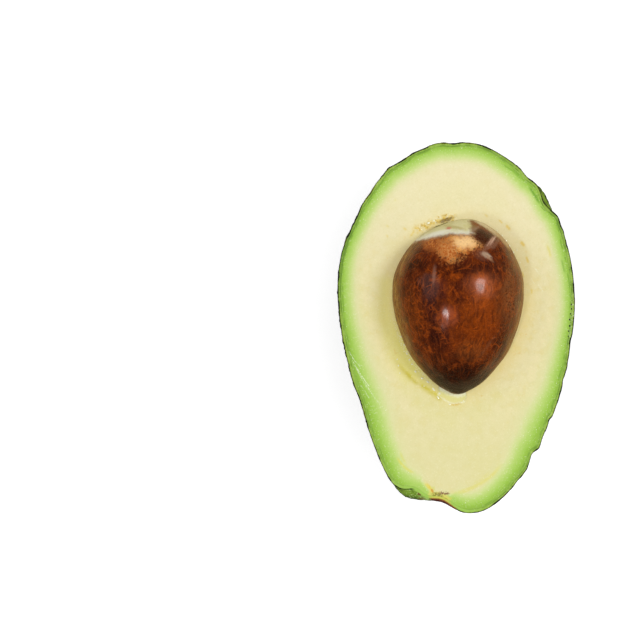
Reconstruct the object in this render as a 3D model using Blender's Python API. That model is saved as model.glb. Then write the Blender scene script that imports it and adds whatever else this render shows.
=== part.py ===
# Half an avocado, cut lengthwise, with its pit.
# It lies on its rounded back with the cut face up. +Y points to the blossom end and +Z up.
# The origin is the middle of its outline, on the surface that it lies on.

import math

import bmesh
import bpy
import numpy as np
from mathutils import Vector, noise

MM = 0.001

# Outline of the cut face in millimetres, clockwise from the blossom end
CUT_OUTLINE = [
    (-0.1, 50.05), (10.4, 47.6), (19.8, 40.6), (26.8, 30.75), (30.6, 19.85), (32.0, 7.5),
    (31.0, -4.6), (28.2, -16.8), (24.1, -27.8), (19.3, -36.7), (12.8, -45.6), (3.7, -50.0),
    (-4.1, -49.1), (-9.8, -46.6), (-15.7, -44.1), (-20.6, -35.9), (-25.7, -20.8), (-30.0, -6.0),
    (-32.1, 9.6), (-30.3, 23.1), (-24.3, 35.5), (-15.2, 45.3), (-7.1, 48.9),
]

# The middle that the outline's radii are measured from, which is also the pit's middle
MIDDLE_X = 0.43 * MM
MIDDLE_Y = 5.69 * MM

# Rounded back
BACK_DEPTH = 32.0 * MM
FLAT_SPOT_TRIM = 0.7 * MM
CUT_HEIGHT = BACK_DEPTH - FLAT_SPOT_TRIM
NECK_LENGTH = 55.7 * MM
NECK_SLIMMING = 0.12

# Layers
SKIN_THICKNESS = 1.1 * MM
GAP = 0.3 * MM

# Lips where the skin swells out below the cut: direction and half width in degrees, and pull-in
LIPS = [
    (257.0, 6.0, 3.8 * MM),
    (51.0, 8.0, 1.9 * MM),
]
LIP_REACH = 2.2 * MM

# Swellings and dents along the rim: direction and half width in degrees, and height
RIM_BUMPS = [
    (42.0, 3.0, 0.4 * MM), (55.0, 4.0, 0.8 * MM), (62.0, 2.5, -0.4 * MM),
    (83.0, 6.0, 0.45 * MM), (92.0, 2.5, -0.35 * MM), (98.5, 3.0, 0.4 * MM), (109.5, 3.5, -0.4 * MM),
    (117.5, 3.0, 0.45 * MM), (141.0, 10.0, -0.5 * MM), (200.0, 14.0, 0.2 * MM), (216.0, 6.0, 0.3 * MM),
    (235.0, 6.0, 0.2 * MM), (256.5, 5.0, 1.1 * MM),
    (277.5, 4.0, 0.5 * MM), (292.5, 3.0, 0.7 * MM), (296.5, 1.8, -0.6 * MM), (300.0, 2.0, 0.6 * MM),
    (317.0, 5.0, 0.3 * MM), (342.0, 4.0, -0.25 * MM),
]

# Round hollow where the stem sat
STEM_X = -4.3 * MM
STEM_Y = -49.4 * MM
STEM_HOLLOW_DEPTH = 3.6 * MM
STEM_HOLLOW_RADIUS = 4.6 * MM

# Pebbles of the skin
PEBBLE_PITCH = 6.6 * MM
PEBBLE_HEIGHT = 0.8 * MM
PEBBLE_EDGE = 0.5
PEBBLE_FADE = 4.0 * MM

# Half profile of the pit in millimetres, radius and place along +Y, from blunt end to tip
PIT_PROFILE = [
    (0.0, 23.6), (6.4, 21.9), (12.6, 17.3), (16.9, 9.8), (17.65, 3.6), (16.6, -3.7),
    (13.1, -12.6), (7.4, -19.6), (2.6, -22.9), (0.0, -23.6),
]
PIT_LEAN = 1.9 * MM
PIT_HALF_LENGTH = 23.6 * MM
PIT_RADIUS = 17.65 * MM

# Fineness of the surfaces
SKIN_CELLS = 60
LAYER_CELLS = 28
OUTLINE_STEPS = 16
PIT_PROFILE_STEPS = 3
PIT_SIDES = 36
CUTTER_RISE = 5.0 * MM


def clear_scene():
    for item in list(bpy.data.objects):
        bpy.data.objects.remove(item, do_unlink=True)


def curve_through(before, start, end, after, share):
    # One stretch of a smooth curve between start and end
    return 0.5 * (
        2 * start
        + (end - before) * share
        + (2 * before - 5 * start + 4 * end - after) * share**2
        + (3 * start - before - 3 * end + after) * share**3
    )


def outline_radii():
    # Direction and distance of the cut outline, seen from the middle
    points = [Vector(point) * MM for point in CUT_OUTLINE]
    count = len(points)
    polar = []
    for i in range(count):
        stretch = (points[i - 1], points[i], points[(i + 1) % count], points[(i + 2) % count])
        for step in range(OUTLINE_STEPS):
            spot = curve_through(*stretch, step / OUTLINE_STEPS)
            across = spot.x - MIDDLE_X
            along = spot.y - MIDDLE_Y
            polar.append((math.atan2(along, across), math.hypot(across, along)))
    polar.sort()
    return np.array(polar).T


OUTLINE_ANGLES, OUTLINE_DISTANCES = outline_radii()


def square_to_disc(u, v):
    # Rings of a square grid become rings of a round one
    if u == 0 and v == 0:
        return 0.0, 0.0
    if abs(u) >= abs(v):
        ring = u
        turn = math.pi / 4 * v / u
    else:
        ring = v
        turn = math.pi / 2 - math.pi / 4 * u / v
    return abs(ring), math.atan2(ring * math.sin(turn), ring * math.cos(turn))


def swell(angle, places):
    # Sum of smooth swellings round the rim, each with a direction, a half width and a height
    height = 0.0
    for direction, half_width, amount in places:
        away = (math.degrees(angle) - direction + 180) % 360 - 180
        height += amount * math.exp(-((away / half_width) ** 2))
    return height


def rim_distance(angle):
    smooth = np.interp(angle, OUTLINE_ANGLES, OUTLINE_DISTANCES, period=2 * math.pi)
    return smooth + swell(angle, RIM_BUMPS)


def pebble_height(spot):
    # Rounded cells with narrow valleys between them, fading to the cut and to the flat spot
    near, second = noise.voronoi(spot / PEBBLE_PITCH)[0][:2]
    cell = min(1.0, (second - near) / PEBBLE_EDGE)
    room = min(max(0.0, spot.z), CUT_HEIGHT - spot.z)
    return PEBBLE_HEIGHT * (cell * (2 - cell) - 0.6) * min(1.0, room / PEBBLE_FADE)


def back_point(u, v, inset, pebbled):
    # A point of the square grid laid on the rounded back, inset below the skin's surface
    ring, angle = square_to_disc(u, v)
    tilt = ring * math.pi / 2
    depth = (BACK_DEPTH - inset) * math.cos(tilt)
    lip = swell(angle, LIPS) * math.exp(-((depth / LIP_REACH) ** 2))
    reach = (rim_distance(angle) - inset) * math.sin(tilt) - lip
    spot = Vector((MIDDLE_X + reach * math.cos(angle), MIDDLE_Y + reach * math.sin(angle), 0.0))
    toward_neck = max(0.0, MIDDLE_Y - spot.y) / NECK_LENGTH
    depth *= 1 - NECK_SLIMMING * toward_neck**2
    spot.z = CUT_HEIGHT - depth
    if pebbled:
        outward = spot - Vector((MIDDLE_X, MIDDLE_Y, CUT_HEIGHT))
        outward.normalize()
        spot += outward * pebble_height(spot)
    from_stem = (spot - Vector((STEM_X, STEM_Y, CUT_HEIGHT))).length
    spot.y += STEM_HOLLOW_DEPTH * math.exp(-((from_stem / STEM_HOLLOW_RADIUS) ** 2))
    spot.z = max(inset, spot.z)
    return spot


def split_cells(mesh):
    # Each cell is split along the diagonal that points away from the middle, in every layer alike
    for face in list(mesh.faces):
        corners = list(face.verts)
        outer = max(range(4), key=lambda i: corners[i].co.length)
        bmesh.utils.face_split(face, corners[outer], corners[(outer + 2) % 4])


def rounded_half(name, cells, inset, pebbled=False, rise=0.0):
    # A closed half fruit: its rounded back, a straight rise above the cut if asked, and a flat top
    mesh = bmesh.new()
    bmesh.ops.create_grid(mesh, x_segments=cells, y_segments=cells, size=1)
    split_cells(mesh)
    for vert in mesh.verts:
        vert.co = back_point(vert.co.x, vert.co.y, inset, pebbled)
    rim = [edge for edge in mesh.edges if edge.is_boundary]
    if rise:
        raised = bmesh.ops.extrude_edge_only(mesh, edges=rim)["geom"]
        verts = [item for item in raised if isinstance(item, bmesh.types.BMVert)]
        bmesh.ops.translate(mesh, verts=verts, vec=(0, 0, rise))
        rim = [edge for edge in mesh.edges if edge.is_boundary]
    top = bmesh.ops.edgeloop_fill(mesh, edges=rim)["faces"]
    bmesh.ops.poke(mesh, faces=top)
    return finish_object(name, mesh)


def pit_profile(extra):
    # The pit's half profile as a smooth curve, widened by extra all round
    points = [Vector(point) * MM for point in PIT_PROFILE]
    first = Vector((-points[1].x, points[1].y))
    last = Vector((-points[-2].x, points[-2].y))
    points = [first] + points + [last]
    profile = []
    for i in range(1, len(points) - 2):
        stretch = points[i - 1:i + 3]
        for step in range(PIT_PROFILE_STEPS):
            profile.append(curve_through(*stretch, step / PIT_PROFILE_STEPS))
    profile.append(points[-2])
    widen = Vector((1 + extra / PIT_RADIUS, 1 + extra / PIT_HALF_LENGTH))
    return [Vector((max(0.0, spot.x) * widen.x, spot.y * widen.y)) for spot in profile]


def pit_solid(name, extra):
    # The profile turned about the pit's long axis, with its blunt end leaning to +X
    mesh = bmesh.new()
    verts = [mesh.verts.new((spot.x, spot.y, 0)) for spot in pit_profile(extra)]
    edges = [mesh.edges.new(pair) for pair in zip(verts, verts[1:])]
    bmesh.ops.spin(
        mesh, geom=verts + edges, cent=(0, 0, 0), axis=(0, 1, 0),
        angle=2 * math.pi, steps=PIT_SIDES,
    )
    bmesh.ops.remove_doubles(mesh, verts=mesh.verts, dist=0.01 * MM)
    for vert in mesh.verts:
        toward_blunt_end = max(0.0, vert.co.y) / PIT_HALF_LENGTH
        vert.co.x += PIT_LEAN * toward_blunt_end**4
    solid = finish_object(name, mesh)
    solid.location = (MIDDLE_X, MIDDLE_Y, CUT_HEIGHT)
    return solid


def finish_object(name, mesh):
    # Face everything outwards, shade it smooth and put it in the scene
    bmesh.ops.recalc_face_normals(mesh, faces=mesh.faces)
    data = bpy.data.meshes.new(name)
    mesh.to_mesh(data)
    mesh.free()
    data.shade_smooth()
    data.set_sharp_from_angle(angle=math.radians(40))
    solid = bpy.data.objects.new(name, data)
    bpy.context.collection.objects.link(solid)
    return solid


def cut_away(solid, cutter):
    cutter.hide_render = True
    cutter.display_type = "WIRE"
    cut = solid.modifiers.new(f"cut by {cutter.name}", "BOOLEAN")
    cut.operation = "DIFFERENCE"
    cut.solver = "EXACT"
    cut.object = cutter


def give_material(solid, colour, roughness):
    material = bpy.data.materials.new(solid.name)
    material.use_nodes = True
    surface = material.node_tree.nodes["Principled BSDF"]
    surface.inputs["Base Color"].default_value = (*colour, 1)
    surface.inputs["Roughness"].default_value = roughness
    surface.inputs["Metallic"].default_value = 0.0
    material.diffuse_color = (*colour, 1)
    solid.data.materials.append(material)


def make_skin():
    skin = rounded_half("skin", SKIN_CELLS, 0.0, pebbled=True)
    core = rounded_half("skin_core_cutter", LAYER_CELLS, SKIN_THICKNESS, rise=CUTTER_RISE)
    cut_away(skin, core)
    give_material(skin, (0.025, 0.047, 0.012), 0.45)
    return [skin, core]


def make_flesh():
    flesh = rounded_half("flesh", LAYER_CELLS, SKIN_THICKNESS + GAP)
    hollow = pit_solid("pit_hollow_cutter", GAP)
    cut_away(flesh, hollow)
    give_material(flesh, (0.81, 0.76, 0.42), 0.4)
    return [flesh, hollow]


def make_pit():
    pit = pit_solid("pit", 0.0)
    give_material(pit, (0.18, 0.03, 0.004), 0.35)
    return [pit]


def main():
    clear_scene()
    half = bpy.data.objects.new("avocado_half", None)
    bpy.context.collection.objects.link(half)
    for solid in make_skin() + make_flesh() + make_pit():
        solid.parent = half


main()
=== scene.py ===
import bpy
import math
import numpy as np
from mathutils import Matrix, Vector, noise


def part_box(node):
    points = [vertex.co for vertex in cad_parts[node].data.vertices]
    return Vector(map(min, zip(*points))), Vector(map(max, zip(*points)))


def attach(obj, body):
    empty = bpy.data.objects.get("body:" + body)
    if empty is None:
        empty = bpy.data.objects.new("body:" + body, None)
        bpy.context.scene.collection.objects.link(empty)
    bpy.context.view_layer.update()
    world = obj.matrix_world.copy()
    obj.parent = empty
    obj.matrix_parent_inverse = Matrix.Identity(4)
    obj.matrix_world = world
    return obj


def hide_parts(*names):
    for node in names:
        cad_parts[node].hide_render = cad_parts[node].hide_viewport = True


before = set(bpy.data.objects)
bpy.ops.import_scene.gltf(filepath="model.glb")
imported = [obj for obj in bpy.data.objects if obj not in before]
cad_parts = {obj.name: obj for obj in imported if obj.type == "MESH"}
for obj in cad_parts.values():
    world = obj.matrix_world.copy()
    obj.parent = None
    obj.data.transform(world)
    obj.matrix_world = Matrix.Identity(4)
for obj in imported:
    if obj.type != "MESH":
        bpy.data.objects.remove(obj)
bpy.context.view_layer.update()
mm = 0.001

# lengths are in millimetres, angles in degrees anticlockwise from +X, +Y is the blossom end
fruit = {
    "outline": [
        (-0.1, 50.05), (10.4, 47.6), (19.8, 40.6), (26.8, 30.75), (30.6, 19.85), (32, 7.5),
        (31, -4.6), (28.2, -16.8), (24.1, -27.8), (19.3, -36.7), (12.8, -45.6), (3.7, -50),
        (-4.1, -49.1), (-9.8, -46.6), (-15.7, -44.1), (-20.6, -35.9), (-25.7, -20.8), (-30, -6),
        (-32.1, 9.6), (-30.3, 23.1), (-24.3, 35.5), (-15.2, 45.3), (-7.1, 48.9),
    ],
    "middle": (0.43, 5.69),
    "cutHeight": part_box("flesh")[1][2] / mm,
    "backDepth": 32,
    "neckLength": 55.7,
    "neckSlimming": 0.12,
    "skinThickness": 1.1,
    # direction, half width and height
    "bumps": [
        (42, 3, 0.4), (55, 4, 0.8), (62, 2.5, -0.4), (83, 6, 0.45), (92, 2.5, -0.35),
        (98.5, 3, 0.4), (109.5, 3.5, -0.4), (117.5, 3, 0.45), (141, 10, -0.5), (200, 14, 0.2),
        (216, 6, 0.3), (235, 6, 0.2), (256.5, 5, 1.1), (277.5, 4, 0.5), (292.5, 3, 0.7),
        (296.5, 1.8, -0.6), (300, 2, 0.6), (317, 5, 0.3), (342, 4, -0.25), (50, 4.2, 0.75),
        (308.9, 1.1, -0.25), (311.2, 1.2, 0.2), (36, 1.6, 0.15), (30, 1.4, -0.15),
        (128, 1.8, -0.15), (134, 1.8, 0.15), (123, 1.8, 0.12), (149, 1.6, 0.15), (331, 1.5, 0.15),
        (325, 1.4, -0.15),
    ],
    "lips": [(256.2, 4.4, 3.2), (50.8, 5.4, 2.1)],
    "lipReach": 2.2,
    "stem": (-4.3, -49.4),
    "stemDepth": 2.75,
    "stemRadius": 4.6,
    "stemStretch": 0.5,
    "stemUndercut": 0.26,
    "stemEdge": 0.6,
}

seed = {
    "profile": [
        (0, 23.6), (6.4, 21.9), (12.6, 17.3), (16.9, 9.8), (17.65, 3.6), (16.6, -3.7),
        (13.1, -12.6), (7.4, -19.6), (2.6, -22.9), (0, -23.6),
    ],
    "halfLength": 23.6,
    "halfWidth": 17.65,
    "lean": 1.9,
    "curveSteps": 24,
    "rows": 210,
    "sides": 300,
    "capLine": [
        (-30, 17), (-10.4, 23.2), (-7.5, 23.8), (-4, 24.5), (-2.3, 24.7), (0.3, 24.6),
        (3, 24.5), (4.6, 25.4), (6.4, 27.6), (30, 50),
    ],
    # darker and more orange regions, and warm and purplish patches that are painted highlights and sheen:
    # middle, radii, turn, colour and strength
    "tonesAndHighlights": [
        ((5.4, 3), (5.2, 8), -12, (140, 60, 3), 0.6),
        # painted highlights: the next three warm patches lie under the key light's highlight
        ((6.2, 11), (4.2, 3.4), 0, (150, 72, 26), 0.6),
        ((5.2, 11.4), (3.4, 2.7), 0, (184, 98, 60), 0.55),
        ((7, 9.2), (1.6, 1.6), 0, (176, 92, 52), 0.4),
        ((-12.6, 3.6), (2.6, 7), 5, (112, 52, 5), 0.5),
        ((-6.2, 1), (2.2, 10), 6, (40, 10, 8), 0.75),
        ((-7.8, 6), (1.6, 3.6), 15, (58, 20, 16), 0.55),
        # painted highlight: a warm patch under the top light's highlight
        ((-3.2, 3.2), (2.4, 2.4), 0, (166, 78, 42), 0.65),
        ((-9.6, 12), (3.2, 3.4), 0, (54, 17, 6), 0.6),
        # painted sheen: a purplish patch under the side light's faint sheen
        ((-5.9, 10.6), (2.6, 2.6), 0, (88, 38, 30), 0.45),
        ((-11.6, 16.6), (2.4, 1.5), 30, (42, 13, 6), 0.7),
        ((1, 16.2), (6.5, 2), -4, (50, 16, 8), 0.75),
        ((1.6, 11), (2.6, 3.2), 0, (74, 24, 10), 0.5),
        ((9.4, 16), (3, 3.6), 20, (66, 27, 14), 0.6),
        ((11.4, 7), (1.8, 6), -8, (110, 58, 22), 0.4),
        ((3.4, -6.4), (4.4, 2.6), 0, (130, 70, 26), 0.45),
        ((-6, -8.6), (4, 3.4), 0, (104, 42, 5), 0.4),
        ((11.6, -3), (2, 5.5), -14, (56, 24, 8), 0.6),
        ((-0.8, -14.6), (9.5, 4.4), 0, (34, 8, 3), 0.7),
    ],
    # marks on the cap and beside it
    "marks": [
        ((-2.5, 26.5), (0.6, 0.35), 10, (196, 104, 84), 0.85),
        ((5, 27.8), (0.8, 1.5), 48, (128, 70, 24), 0.85),
        ((6.4, 27.9), (1.9, 0.5), -28, (206, 190, 144), 0.85),
        ((9, 26.3), (2.8, 0.75), -38, (204, 182, 136), 0.85),
        ((12, 23.8), (2.8, 0.7), -52, (186, 154, 102), 0.8),
        ((6.9, 19.2), (1.4, 0.55), -28, (210, 186, 156), 0.85),
        ((7.9, 18.3), (1.1, 0.35), -40, (160, 116, 84), 0.6),
        ((5.6, 19.4), (2, 1.2), -20, (118, 74, 54), 0.5),
        ((8.4, 22.4), (0.7, 2.1), -38, (150, 106, 82), 0.7),
        ((9.8, 22.3), (0.5, 1.8), -38, (136, 92, 68), 0.55),
        ((7, 21.4), (0.5, 1.3), -38, (120, 78, 56), 0.5),
        ((9.1, 23.2), (0.22, 1.3), -38, (196, 156, 130), 0.8),
        ((8.3, 22.9), (0.18, 1.4), -38, (184, 142, 116), 0.7),
        ((-6.8, 13.9), (0.4, 2.3), -5, (136, 94, 76), 0.6),
        ((-13.2, -4.6), (0.5, 2.4), 14, (150, 120, 76), 0.4),
    ],
}


def smoothCurve(points, closed, steps):
    # a smooth curve through given points
    points = np.array(points, float)
    if closed:
        ring = np.vstack([points[-1:], points, points[:2]])
    else:
        ring = np.vstack([2 * points[:1] - points[1:2], points, 2 * points[-1:] - points[-2:-1]])
    share = np.linspace(0, 1, steps, endpoint=False)[:, None]
    rows = []
    for a, b, c, d in zip(ring, ring[1:], ring[2:], ring[3:]):
        bend = (2 * a - 5 * b + 4 * c - d) * share**2 + (3 * b - a - 3 * c + d) * share**3
        rows.append(0.5 * (2 * b + (c - a) * share + bend))
    if not closed:
        rows.append(points[-1:])
    return np.vstack(rows)


def fromMiddle(spots):
    # direction and distance of places, seen from the middle of the fruit
    away = spots[:, :2] - np.array(fruit["middle"])
    return np.arctan2(away[:, 1], away[:, 0]), np.hypot(away[:, 0], away[:, 1])


def polar(curve):
    # the same for a closed curve, in order of direction
    angle, reach = fromMiddle(curve)
    order = np.argsort(angle)
    return angle[order], reach[order]


def bell(away, width):
    return np.exp(-((away / width) ** 2))


def unit(values):
    return np.clip(values, 0, 1)


def swell(angle, places):
    height = np.zeros_like(angle)
    for direction, halfWidth, amount in places:
        away = (np.degrees(angle) - direction + 180) % 360 - 180
        height += amount * bell(away, halfWidth)
    return height


outlineAngle, outlineReach = polar(smoothCurve(fruit["outline"], True, 16))


def rimReach(angle):
    return np.interp(angle, outlineAngle, outlineReach, period=2 * math.pi) + swell(angle, fruit["bumps"])


def stemHollow(spots):
    # draws the surface in round the place where the stem sat
    centre = np.array([*fruit["stem"], fruit["cutHeight"]])
    away = np.linalg.norm((spots - centre) * [1, 1, fruit["stemStretch"]], axis=1)
    depth = fruit["cutHeight"] - spots[:, 2]
    share = 1 - fruit["stemUndercut"] * (1 - bell(depth, fruit["stemEdge"]))
    spots[:, 1] += fruit["stemDepth"] * share * bell(away, fruit["stemRadius"])
    return spots


def backRow(tilt, angle, inset):
    # one ring of the rounded back: tilt 0 is its lowest point and 90 degrees the cut
    depth = (fruit["backDepth"] - inset) * math.cos(tilt)
    lip = swell(angle, fruit["lips"]) * bell(depth, fruit["lipReach"])
    reach = (rimReach(angle) - inset) * math.sin(tilt) - lip
    x = fruit["middle"][0] + reach * np.cos(angle)
    y = fruit["middle"][1] + reach * np.sin(angle)
    toNeck = np.clip(fruit["middle"][1] - y, 0, None) / fruit["neckLength"]
    z = fruit["cutHeight"] - depth * (1 - fruit["neckSlimming"] * toNeck**2)
    row = stemHollow(np.stack([x, y, z], 1))
    row[:, 2] = np.maximum(row[:, 2], inset)
    return row


def seedWidth(y, extra=0):
    # half width of the seed at a place along its length, counted from its middle
    profile, steps = seed["profile"], seed["curveSteps"]
    before, after = ((-x, y) for x, y in (profile[1], profile[-2]))
    inside = smoothCurve([before, *profile, after], False, steps)[steps:-steps]
    stretch = (seed["halfLength"] + extra) / seed["halfLength"]
    return np.interp(y / stretch, inside[::-1, 1], inside[::-1, 0]) * (1 + extra / seed["halfWidth"])


def seedLean(y):
    return seed["lean"] * np.clip(y / seed["halfLength"], 0, None) ** 4


def newPiece(name, data):
    piece = bpy.data.objects.new(name, data)
    bpy.context.scene.collection.objects.link(piece)
    return piece


def closedRows(name, rows, firstPole, lastPole):
    # a closed mesh from rings of equal length, drawn together at both ends
    count = len(rows[0])
    spots = np.vstack(rows + [firstPole, lastPole]) * mm
    column = np.arange(count)
    following = (column + 1) % count
    faces = []
    for i in range(len(rows) - 1):
        low, high = i * count, (i + 1) * count
        quads = np.stack([low + column, low + following, high + following, high + column], 1)
        faces.extend(quads.tolist())
    first, last = len(rows) * count, len(rows) * count + 1
    top = (len(rows) - 1) * count
    faces.extend(np.stack([following, column, np.full(count, first)], 1).tolist())
    faces.extend(np.stack([top + column, top + following, np.full(count, last)], 1).tolist())
    mesh = bpy.data.meshes.new(name)
    mesh.from_pydata(spots.tolist(), [], faces)
    mesh.shade_smooth()
    return newPiece(name, mesh)


def note(piece, **notes):
    # one number for each point under each name, which materials and node trees read
    for name, values in notes.items():
        layer = piece.data.attributes.new(name, "FLOAT", "POINT")
        layer.data.foreach_set("value", np.asarray(values, np.float32))


def pointsOf(piece):
    flat = np.zeros(len(piece.data.vertices) * 3)
    piece.data.vertices.foreach_get("co", flat)
    return flat.reshape(-1, 3) / mm


def movePoints(piece, spots):
    piece.data.vertices.foreach_set("co", (spots * mm).ravel())
    piece.data.update()


def fromPath(spots, path):
    # distance to a given path, seen from above, and how far along it that is, from 0 to 1
    curve = smoothCurve(path, False, 6)
    best = np.full(len(spots), 1e9)
    along = np.zeros(len(spots))
    for i, (a, b) in enumerate(zip(curve, curve[1:])):
        run = b - a
        share = unit(((spots[:, :2] - a) @ run) / (run @ run))
        away = np.linalg.norm(spots[:, :2] - a - share[:, None] * run, axis=1)
        nearer = away < best
        best[nearer] = away[nearer]
        along[nearer] = (i + share[nearer]) / (len(curve) - 1)
    return best, along


def fromLoop(spots, loop):
    # distance to a closed loop, seen from above
    best = np.full(len(spots), 1e9)
    for a, b in zip(loop, np.roll(loop, -1, axis=0)):
        run = b - a
        share = unit(((spots[:, :2] - a) @ run) / (run @ run))
        away = spots[:, :2] - a - share[:, None] * run
        best = np.minimum(best, away[:, 0] ** 2 + away[:, 1] ** 2)
    return np.sqrt(best)


def waviness(spots, size, offset=0):
    # smooth noise between -1 and 1 with lumps of about the given size
    return np.array([noise.noise(Vector(spot) / size + Vector((offset, 0, 0))) for spot in spots])


def linear(shown):
    # a colour given as a screen shows it, 0 to 255
    parts = [c / 255 for c in shown]
    return tuple(p / 12.92 if p <= 0.04045 else ((p + 0.055) / 1.055) ** 2.4 for p in parts) + (1,)


class Wire:
    # a socket in a node tree: sums on it add Math nodes
    def __init__(self, tree, socket=None):
        self.tree = tree
        self.socket = socket

    def node(self, kind, settings=None, sockets=None, output=0):
        made = self.tree.nodes.new(kind)
        for name, value in (settings or {}).items():
            setattr(made, name, value)
        for key, value in (sockets or {}).items():
            if isinstance(value, Wire):
                self.tree.links.new(value.socket, made.inputs[key])
            else:
                made.inputs[key].default_value = value
        return Wire(self.tree, made.outputs[output] if made.outputs else None)

    def other(self, output):
        return Wire(self.tree, self.socket.node.outputs[output])

    def sum(self, operation, *values):
        return self.node("ShaderNodeMath", {"operation": operation}, dict(enumerate(values)))

    def size(self):
        return self.sum("ABSOLUTE", self)

    def larger(self, other):
        return self.sum("MAXIMUM", self, other)

    def step(self, start, end):
        # 0 at start, 1 at end, smooth between them
        sockets = {0: self, 1: start, 2: end, 3: 0, 4: 1}
        return self.node("ShaderNodeMapRange", {"interpolation_type": "SMOOTHSTEP"}, sockets)

    def vector(self, operation, *values, output=0):
        settings = {"operation": operation}
        return self.node("ShaderNodeVectorMath", settings, dict(enumerate(values)), output)

    def shifted(self, way):
        return self.vector("ADD", self, way)

    def stretched(self, *shape):
        return self.vector("MULTIPLY", self, shape)

    def scaled(self, amount):
        settings = {"operation": "SCALE"}
        return self.node("ShaderNodeVectorMath", settings, {0: self, "Scale": amount})

    def turned(self, degrees):
        settings = {"rotation_type": "Z_AXIS"}
        return self.node("ShaderNodeVectorRotate", settings,
            {"Vector": self, "Angle": math.radians(degrees)})

    def part(self, axis):
        return self.node("ShaderNodeSeparateXYZ", {}, {0: self}, axis)

    def joined(self, *parts):
        return self.node("ShaderNodeCombineXYZ", {}, dict(enumerate(parts)))

    def noise(self, sockets, output=0):
        return self.node("ShaderNodeTexNoise", {}, {"Vector": self, **sockets}, output)

    def grain(self, size, detail=3, roughness=0.5):
        # noise about 0.5, with lumps of that many millimetres
        return self.noise({"Scale": 1 / (size * mm), "Detail": detail, "Roughness": roughness})

    def bent(self, size, amount):
        # the same place, pushed about by a smooth noise
        push = self.noise({"Scale": 1 / (size * mm), "Detail": 0}, 1)
        push = push.vector("SUBTRACT", push, (0.5, 0.5, 0.5))
        return push.scaled(2 * amount * mm).shifted(self)

    def cells(self, scale, feature="F1", **more):
        sockets = {"Vector": self, "Scale": scale, **more}
        return self.node("ShaderNodeTexVoronoi", {"feature": feature}, sockets)

    def net(self, size, thickness):
        # a net of thin lines round cells of about that many millimetres
        return self.cells(1 / (size * mm), "DISTANCE_TO_EDGE").step(thickness, thickness * 0.25)

    def read(self, name, output="Fac"):
        # a note of the piece, in its material
        return self.node("ShaderNodeAttribute", {"attribute_name": name}, output=output)

    def named(self, name):
        # a note of the piece, in a tree that shapes it
        return self.node("GeometryNodeInputNamedAttribute", {"data_type": "FLOAT"}, {"Name": name})

    def patch(self, centre, radii, turn=0, ragged=None, soft=0.25):
        # a roundish patch seen from above, its edge moved in and out by a noise: 1 inside, 0 outside
        centred = self.shifted((-centre[0] * mm, -centre[1] * mm, 0))
        scaled = centred.turned(-turn).stretched(1 / (radii[0] * mm), 1 / (radii[1] * mm), 0)
        away = scaled.vector("LENGTH", scaled, output="Value")
        if ragged:
            away = away + ragged
        return away.step(1 + soft, 1 - soft)

    def ramp(self, stops):
        # colours set at places from 0 to 1
        made = self.node("ShaderNodeValToRGB", {}, {0: self})
        elements = made.socket.node.color_ramp.elements
        while len(elements) < len(stops):
            elements.new(1)
        for element, (place, colour) in zip(elements, stops):
            element.position = place
            element.color = linear(colour)
        return made

    def tint(self, *coats):
        # this colour under others: each colour is followed by its mask, which is 1 where it covers
        under = self
        for colour, mask in zip(coats[::2], coats[1::2]):
            colour = colour if isinstance(colour, Wire) else linear(colour)
            under = self.node("ShaderNodeMix", {"data_type": "RGBA"}, {0: mask, 6: under, 7: colour}, 2)
        return under

    def dabbed(self, place, dabs, ragged, soft):
        # this colour under patches of others: middle, radii, turn, colour and strength of each
        under = self
        for middle, radii, turn, colour, strength in dabs:
            under = under.tint(colour, place.patch(middle, radii, turn, ragged, soft) * strength)
        return under


for method, operation in (("add", "ADD"), ("sub", "SUBTRACT"), ("mul", "MULTIPLY"), ("truediv", "DIVIDE")):
    setattr(Wire, f"__{method}__", lambda a, b, kind=operation: a.sum(kind, a, b))
    setattr(Wire, f"__r{method}__", lambda a, b, kind=operation: a.sum(kind, b, a))


def startMaterial(name):
    material = bpy.data.materials.new(name)
    material.use_nodes = True
    tree = material.node_tree
    tree.nodes.clear()
    return material, Wire(tree).node("ShaderNodeTexCoord", output="Object")


def shade(place, sockets):
    shader = place.node("ShaderNodeBsdfPrincipled", {}, sockets)
    place.node("ShaderNodeOutputMaterial", {}, {"Surface": shader})


def finishMaterial(place, colour, roughness, bumpHeight, bumpDistance, fixed):
    # fixed holds the values that are the same all over
    bumpSockets = {"Height": bumpHeight, "Distance": bumpDistance * mm, "Strength": 1}
    bump = place.node("ShaderNodeBump", {}, bumpSockets)
    shade(place, {"Base Color": colour, "Roughness": roughness, "Normal": bump, **fixed})


def startTree(name, numbers, seeded=False):
    # a node tree which takes a mesh, named numbers and a finish
    tree = bpy.data.node_groups.new(name, "GeometryNodeTree")
    inputs = [("Geometry", "Geometry"), *((number, "Float") for number in numbers)]
    inputs += [("Seed", "Int")] if seeded else []
    for socket, kind in (*inputs, ("Finish", "Material")):
        tree.interface.new_socket(socket, in_out="INPUT", socket_type="NodeSocket" + kind)
    tree.interface.new_socket("Geometry", in_out="OUTPUT", socket_type="NodeSocketGeometry")
    return tree, Wire(tree).node("NodeGroupInput")


def finishTree(start, shape):
    real = start.node("GeometryNodeRealizeInstances", {}, {"Geometry": shape})
    done = start.node("GeometryNodeSetMaterial", {}, {"Geometry": real, "Material": start.other("Finish")})
    start.node("NodeGroupOutput", {}, {"Geometry": done})


def ballsOn(start, points, facets, facing, size):
    # a small ball at each point, turned and stretched
    ball = start.node("GeometryNodeMeshIcoSphere", {}, {"Radius": 1, "Subdivisions": facets})
    sockets = {"Points": points, "Instance": ball, "Rotation": facing, "Scale": size}
    return start.node("GeometryNodeInstanceOnPoints", {}, sockets)


# rind

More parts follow.
